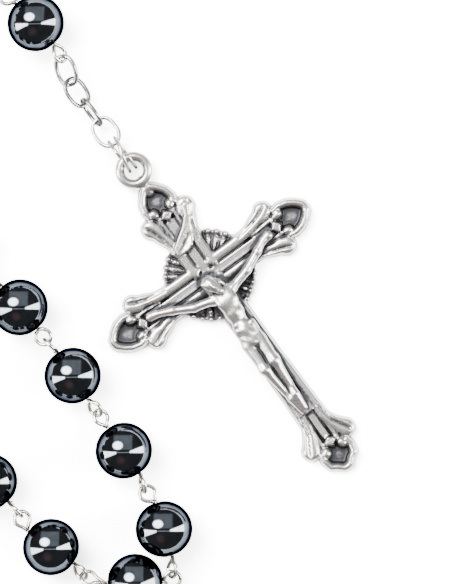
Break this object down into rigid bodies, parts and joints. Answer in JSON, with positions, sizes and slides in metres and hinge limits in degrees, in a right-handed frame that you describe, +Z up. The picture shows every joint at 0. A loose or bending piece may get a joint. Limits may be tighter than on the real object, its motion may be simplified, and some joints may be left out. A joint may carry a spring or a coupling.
{
  "type": "rosary",
  "caption": "Prayer beads laid flat: a closed loop of dark round beads on wire eye pins, a centre medal, and a short pendant chain ending in a flared metal crucifix.",
  "frame": {"origin": "on the table under the middle of the crucifix, on the flat back of the crucifix", "axes": "+Z up from the table; +X and +Y lie in the table, and the loop of beads extends toward -X; the head of the crucifix points between -X and +Y"},
  "size_m": [0.3473, 0.1748, 0.008],
  "materials": {
    "hematite": "mirror polished",
    "bright_wire": "bright silver-tone plating",
    "antique_silver": "cast and antiqued, dark in the recesses"
  },
  "bodies": {
    "medal": {"centre_medal": "antique_silver", "decade1_chain": "bright_wire", "last_chain": "bright_wire", "decade5_beads_b": "hematite", "decade5_beads_a": "hematite", "father_section_4": "hematite", "decade4_beads_b": "hematite", "decade4_beads_a": "hematite"},
    "pendant_chain_upper": {"pendant_chain_upper": "bright_wire"},
    "pendant_father_upper": {"pendant_father_upper": "hematite"},
    "pendant_chain_middle": {"pendant_chain_middle": "bright_wire"},
    "pendant_bead_3": {"pendant_bead_3": "hematite"},
    "pendant_bead_2": {"pendant_bead_2": "hematite"},
    "pendant_bead_1": {"pendant_bead_1": "hematite"},
    "pendant_chain_lower": {"pendant_chain_lower": "bright_wire"},
    "pendant_father_pin": {"pendant_father_pin": "bright_wire"},
    "pendant_father_bead": {"pendant_father_bead": "hematite"},
    "cable_link_1": {"cable_link_1": "bright_wire"},
    "cable_link_2": {"cable_link_2": "bright_wire"},
    "cable_link_3": {"cable_link_3": "bright_wire"},
    "cable_link_4": {"cable_link_4": "bright_wire"},
    "split_ring": {"split_ring": "bright_wire"},
    "crucifix": {"crucifix": "antique_silver"},
    "decade1_bead_01": {"decade1_bead_01": "hematite"},
    "decade1_bead_02": {"decade1_bead_02": "hematite"},
    "decade1_pin_03": {"decade1_pin_03": "bright_wire"},
    "decade1_bead_03": {"decade1_bead_03": "hematite"},
    "decade1_pin_04": {"decade1_pin_04": "bright_wire"},
    "decade1_bead_04": {"decade1_bead_04": "hematite"},
    "decade1_pin_05": {"decade1_pin_05": "bright_wire"},
    "decade1_bead_05": {"decade1_bead_05": "hematite"},
    "decade1_pin_06": {"decade1_pin_06": "bright_wire"},
    "decade1_bead_06": {"decade1_bead_06": "hematite"},
    "decade1_pin_07": {"decade1_pin_07": "bright_wire"},
    "decade1_bead_07": {"decade1_bead_07": "hematite"},
    "decade1_pin_08": {"decade1_pin_08": "bright_wire"},
    "decade1_bead_08": {"decade1_bead_08": "hematite"},
    "decade1_pin_09": {"decade1_pin_09": "bright_wire"},
    "decade1_bead_09": {"decade1_bead_09": "hematite"},
    "decade1_pin_10": {"decade1_pin_10": "bright_wire", "father_section_1": "hematite", "decade2_beads_a": "hematite", "decade2_beads_b": "hematite", "father_section_2": "hematite", "decade3_beads_a": "hematite", "decade3_beads_b": "hematite"},
    "decade1_bead_10": {"decade1_bead_10": "hematite"},
    "decade3_bead_07": {"decade3_bead_07": "hematite"},
    "decade3_bead_08": {"decade3_bead_08": "hematite"},
    "decade3_bead_09": {"decade3_bead_09": "hematite"},
    "decade3_bead_10": {"decade3_bead_10": "hematite", "father_section_3": "hematite"},
    "decade4_bead_01": {"decade4_bead_01": "hematite"}
  },
  "joints": [
    {"name": "eye_01_lead", "type": "hinge", "parent": "medal", "child": "decade1_bead_01", "pos_m": [-0.05852, 0.02591, 0.00405], "axis": [0, 0, 1], "range_deg": [-26, 3]},
    {"name": "eye_02", "type": "hinge", "parent": "decade1_bead_01", "child": "decade1_bead_02", "pos_m": [-0.04956, 0.01717, 0.00405], "axis": [0, 0, 1], "range_deg": [-4, 27]},
    {"name": "eye_09", "type": "hinge", "parent": "decade1_pin_08", "child": "decade1_pin_09", "pos_m": [-0.0177, -0.0424, 0.00405], "axis": [0, 0, 1], "range_deg": [-27, 4]},
    {"name": "eye_28_lead", "type": "hinge", "parent": "decade3_bead_08", "child": "decade3_bead_07", "pos_m": [-0.28492, -0.08604, 0.00405], "axis": [0, 0, 1], "range_deg": [-30, 3]},
    {"name": "eye_27", "type": "hinge", "parent": "decade3_bead_07", "child": "decade1_pin_10", "pos_m": [-0.27612, -0.09504, 0.00405], "axis": [0, 0, 1], "range_deg": [-4, 31]},
    {"name": "eye_03", "type": "hinge", "parent": "decade1_bead_02", "child": "decade1_pin_03", "pos_m": [-0.03995, 0.0091, 0.00405], "axis": [0, 0, 1], "range_deg": [-31, 4]},
    {"name": "eye_04", "type": "hinge", "parent": "decade1_pin_03", "child": "decade1_pin_04", "pos_m": [-0.03115, 0.0001, 0.00405], "axis": [0, 0, 1], "range_deg": [-4, 31]},
    {"name": "eye_30_lead", "type": "hinge", "parent": "decade3_bead_10", "child": "decade3_bead_09", "pos_m": [-0.30045, -0.06649, 0.00405], "axis": [0, 0, 1], "range_deg": [-30, 5]},
    {"name": "eye_29", "type": "hinge", "parent": "decade3_bead_09", "child": "decade3_bead_08", "pos_m": [-0.29315, -0.07657, 0.00405], "axis": [0, 0, 1], "range_deg": [-6, 31]},
    {"name": "eye_05", "type": "hinge", "parent": "decade1_pin_04", "child": "decade1_pin_05", "pos_m": [-0.02295, -0.00932, 0.00405], "axis": [0, 0, 1], "range_deg": [-31, 6]},
    {"name": "eye_06", "type": "hinge", "parent": "decade1_pin_05", "child": "decade1_pin_06", "pos_m": [-0.01565, -0.0194, 0.00405], "axis": [0, 0, 1], "range_deg": [-6, 31]},
    {"name": "eye_32_lead", "type": "hinge", "parent": "medal", "child": "decade4_bead_01", "pos_m": [-0.32266, -0.01293, 0.00405], "axis": [0, 0, 1], "range_deg": [-30, 2]},
    {"name": "eye_31", "type": "hinge", "parent": "decade4_bead_01", "child": "decade3_bead_10", "pos_m": [-0.31868, -0.02487, 0.00405], "axis": [0, 0, 1], "range_deg": [-3, 31]},
    {"name": "eye_07", "type": "hinge", "parent": "decade1_pin_06", "child": "decade1_pin_07", "pos_m": [-0.00923, -0.03018, 0.00405], "axis": [0, 0, 1], "range_deg": [-31, 3]},
    {"name": "eye_08", "type": "hinge", "parent": "decade1_pin_07", "child": "decade1_pin_08", "pos_m": [-0.00525, -0.04212, 0.00405], "axis": [0, 0, 1], "range_deg": [-3, 31]},
    {"name": "spin_03", "type": "hinge", "parent": "decade1_pin_03", "child": "decade1_bead_03", "pos_m": [-0.0356, 0.00455, 0.00405], "axis": [0.7071, -0.7071, 0], "continuous": true},
    {"name": "spin_04", "type": "hinge", "parent": "decade1_pin_04", "child": "decade1_bead_04", "pos_m": [-0.0267, -0.00455, 0.00405], "axis": [0.6428, -0.766, 0], "continuous": true},
    {"name": "spin_05", "type": "hinge", "parent": "decade1_pin_05", "child": "decade1_bead_05", "pos_m": [-0.01925, -0.01415, 0.00405], "axis": [0.5446, -0.8387, 0], "continuous": true},
    {"name": "spin_06", "type": "hinge", "parent": "decade1_pin_06", "child": "decade1_bead_06", "pos_m": [-0.01205, -0.0247, 0.00405], "axis": [0.5736, -0.8192, 0], "continuous": true},
    {"name": "spin_07", "type": "hinge", "parent": "decade1_pin_07", "child": "decade1_bead_07", "pos_m": [-0.0064, -0.03572, 0.00405], "axis": [0.2924, -0.9563, 0], "continuous": true},
    {"name": "spin_08", "type": "hinge", "parent": "decade1_pin_08", "child": "decade1_bead_08", "pos_m": [-0.01045, -0.0432, 0.00405], "axis": [-0.9997, -0.0262, 0], "continuous": true},
    {"name": "spin_09", "type": "hinge", "parent": "decade1_pin_09", "child": "decade1_bead_09", "pos_m": [-0.0223, -0.03825, 0.00405], "axis": [-0.8192, 0.5736, 0], "continuous": true},
    {"name": "spin_10", "type": "hinge", "parent": "decade1_pin_10", "child": "decade1_bead_10", "pos_m": [-0.031, -0.02905, 0.00405], "axis": [-0.6947, 0.7193, 0], "continuous": true},
    {"name": "swing_01", "type": "hinge", "parent": "medal", "child": "pendant_chain_upper", "pos_m": [-0.08582, 0.04495, 0.00135], "axis": [0, 0, 1], "range_deg": [-1, 26]},
    {"name": "swing_02", "type": "hinge", "parent": "pendant_chain_upper", "child": "pendant_father_upper", "pos_m": [-0.08195, 0.054, 0.00405], "axis": [0, 0, -1], "range_deg": [-26, 1]},
    {"name": "lift_03", "type": "hinge", "parent": "pendant_father_upper", "child": "pendant_chain_middle", "pos_m": [-0.07281, 0.06259, 0.00405], "axis": [0.335, -0.9422, 0], "range_deg": [0, 30]},
    {"name": "swing_04", "type": "hinge", "parent": "pendant_chain_middle", "child": "pendant_bead_3", "pos_m": [-0.0632, 0.06601, 0.00405], "axis": [0, 0, 1], "range_deg": [-1, 26]},
    {"name": "lift_05", "type": "hinge", "parent": "pendant_bead_3", "child": "pendant_bead_2", "pos_m": [-0.05068, 0.06512, 0.00405], "axis": [0.4653, 0.8851, 0], "range_deg": [-30, 0]},
    {"name": "swing_06", "type": "hinge", "parent": "pendant_bead_2", "child": "pendant_bead_1", "pos_m": [-0.03957, 0.05928, 0.00405], "axis": [0, 0, -1], "range_deg": [-26, 1]},
    {"name": "lift_07", "type": "hinge", "parent": "pendant_bead_1", "child": "pendant_chain_lower", "pos_m": [-0.03174, 0.04947, 0.00405], "axis": [-0.9661, -0.2583, 0], "range_deg": [0, 30]},
    {"name": "swing_08", "type": "hinge", "parent": "pendant_chain_lower", "child": "pendant_father_pin", "pos_m": [-0.0291, 0.03962, 0.00405], "axis": [0, 0, 1], "range_deg": [-1, 26]},
    {"name": "lift_09", "type": "hinge", "parent": "pendant_father_pin", "child": "cable_link_1", "pos_m": [-0.02066, 0.03041, 0.0037], "axis": [0.9582, 0.286, 0], "range_deg": [-30, 0]},
    {"name": "swing_10", "type": "hinge", "parent": "cable_link_1", "child": "cable_link_2", "pos_m": [-0.01968, 0.02712, 0.0031], "axis": [0, 0, -1], "range_deg": [-26, 1]},
    {"name": "lift_11", "type": "hinge", "parent": "cable_link_2", "child": "cable_link_3", "pos_m": [-0.01767, 0.02437, 0.0024], "axis": [-0.8078, -0.5895, 0], "range_deg": [0, 30]},
    {"name": "swing_12", "type": "hinge", "parent": "cable_link_3", "child": "cable_link_4", "pos_m": [-0.01562, 0.02156, 0.0023], "axis": [0, 0, 1], "range_deg": [-1, 26]},
    {"name": "lift_13", "type": "hinge", "parent": "cable_link_4", "child": "split_ring", "pos_m": [-0.01359, 0.01877, 0.00275], "axis": [0.81, 0.5864, 0], "range_deg": [-30, 0]},
    {"name": "swing_14", "type": "hinge", "parent": "split_ring", "child": "crucifix", "pos_m": [-0.01076, 0.01486, 0.00172], "axis": [0, 0, -1], "range_deg": [-26, 1]},
    {"name": "spin_father", "type": "hinge", "parent": "pendant_father_pin", "child": "pendant_father_bead", "pos_m": [-0.02444, 0.03542, 0.00405], "axis": [0.6691, -0.7431, 0], "continuous": true}
  ],
  "couplings": [
    {"joint": "eye_02", "follows": "eye_01_lead", "ratio": -1},
    {"joint": "eye_09", "follows": "eye_01_lead", "ratio": 1},
    {"joint": "eye_27", "follows": "eye_28_lead", "ratio": -1},
    {"joint": "eye_03", "follows": "eye_28_lead", "ratio": 1},
    {"joint": "eye_04", "follows": "eye_28_lead", "ratio": -1},
    {"joint": "eye_29", "follows": "eye_30_lead", "ratio": -1},
    {"joint": "eye_05", "follows": "eye_30_lead", "ratio": 1},
    {"joint": "eye_06", "follows": "eye_30_lead", "ratio": -1},
    {"joint": "eye_31", "follows": "eye_32_lead", "ratio": -1},
    {"joint": "eye_07", "follows": "eye_32_lead", "ratio": 1},
    {"joint": "eye_08", "follows": "eye_32_lead", "ratio": -1}
  ]
}
